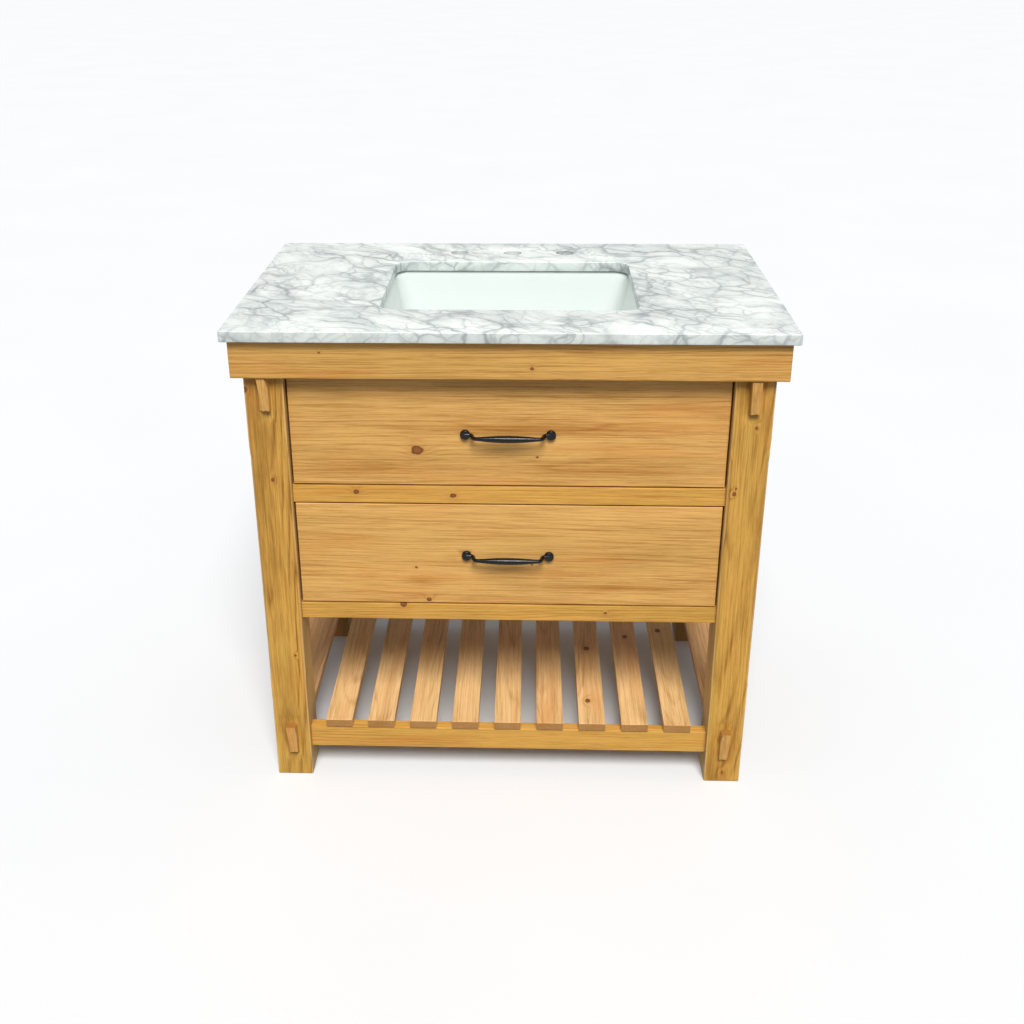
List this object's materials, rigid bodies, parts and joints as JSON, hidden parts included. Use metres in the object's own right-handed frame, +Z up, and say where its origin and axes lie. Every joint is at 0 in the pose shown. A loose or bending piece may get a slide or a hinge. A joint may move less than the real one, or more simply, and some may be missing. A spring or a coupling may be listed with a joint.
{
  "type": "bathroom vanity cabinet",
  "caption": "Free-standing pine bathroom vanity: stone top with undermount basin, sliding drawers with bow handles and an open slatted shelf.",
  "frame": {"origin": "centre of the footprint, on the floor", "axes": "+Z up; the front faces -Y; +X to the right seen from the front"},
  "size_m": [0.914, 0.574, 0.88],
  "materials": {
    "pine_legs": "oiled reclaimed pine, vertical grain, hand-worked edges",
    "pine_boards": "oiled reclaimed pine, horizontal grain",
    "pine_slats": "oiled reclaimed pine, grain along the depth",
    "pine_fronts": "oiled reclaimed pine with knots",
    "raw_pine": "planed, unfinished",
    "drawer_boards": "clear lacquer",
    "plywood": "sanded",
    "marble": "polished white marble with grey veins",
    "ceramic": "glossy white glaze",
    "seal": "grey silicone",
    "black_iron": "satin black",
    "zinc_steel": "zinc plated"
  },
  "bodies": {
    "cabinet": {"leg_front_left": "pine_legs", "leg_front_right": "pine_legs", "leg_rear_left": "pine_legs", "leg_rear_right": "pine_legs", "leg_pegs": "pine_legs", "apron_front": "pine_boards", "apron_left": "pine_boards", "apron_right": "pine_boards", "top_rail_front": "pine_boards", "top_rail_rear": "pine_boards", "mid_rail": "pine_boards", "bottom_rail_front": "pine_boards", "bottom_rail_rear": "pine_boards", "shelf_rail_front": "pine_boards", "shelf_rail_rear": "pine_boards", "stretcher_left": "pine_boards", "stretcher_right": "pine_boards", "side_panel_left": "pine_boards", "side_panel_right": "pine_boards", "shelf_slat_1": "pine_slats", "shelf_slat_2": "pine_slats", "shelf_slat_3": "pine_slats", "shelf_slat_4": "pine_slats", "shelf_slat_5": "pine_slats", "shelf_slat_6": "pine_slats", "shelf_slat_7": "pine_slats", "shelf_slat_8": "pine_slats", "shelf_slat_9": "pine_slats", "shelf_edge_left": "pine_slats", "shelf_edge_right": "pine_slats", "back_panel": "plywood", "slide_battens": "raw_pine", "corner_blocks": "raw_pine", "marble_top": "marble", "basin": "ceramic", "basin_seal": "seal", "basin_clips": "zinc_steel", "slide_outers": "zinc_steel"},
    "upper_drawer": {"upper_drawer_front": "pine_fronts", "upper_drawer_subfront": "drawer_boards", "upper_drawer_side_left": "drawer_boards", "upper_drawer_side_right": "drawer_boards", "upper_drawer_notch_walls": "drawer_boards", "upper_drawer_backs": "drawer_boards", "upper_drawer_bottoms": "plywood", "handle_upper": "black_iron", "handle_screws_upper": "zinc_steel", "slide_inners_upper": "zinc_steel"},
    "lower_drawer": {"lower_drawer_front": "pine_fronts", "lower_drawer_subfront": "drawer_boards", "lower_drawer_side_left": "drawer_boards", "lower_drawer_side_right": "drawer_boards", "lower_drawer_back": "drawer_boards", "lower_drawer_bottom": "plywood", "handle_lower": "black_iron", "handle_screws_lower": "zinc_steel", "slide_inners_lower": "zinc_steel"},
    "upper_slide_middles": {"slide_middles_upper": "zinc_steel"},
    "lower_slide_middles": {"slide_middles_lower": "zinc_steel"}
  },
  "joints": [
    {"name": "upper_drawer_slide", "type": "slide", "parent": "cabinet", "child": "upper_drawer", "axis": [0, -1, 0], "range_m": [0, 0.38]},
    {"name": "lower_drawer_slide", "type": "slide", "parent": "cabinet", "child": "lower_drawer", "axis": [0, -1, 0], "range_m": [0, 0.38]},
    {"name": "upper_middle_slide", "type": "slide", "parent": "cabinet", "child": "upper_slide_middles", "axis": [0, -1, 0], "range_m": [0, 0.19]},
    {"name": "lower_middle_slide", "type": "slide", "parent": "cabinet", "child": "lower_slide_middles", "axis": [0, -1, 0], "range_m": [0, 0.19]}
  ],
  "couplings": [
    {"joint": "upper_middle_slide", "follows": "upper_drawer_slide", "ratio": 0.5},
    {"joint": "lower_middle_slide", "follows": "lower_drawer_slide", "ratio": 0.5}
  ]
}
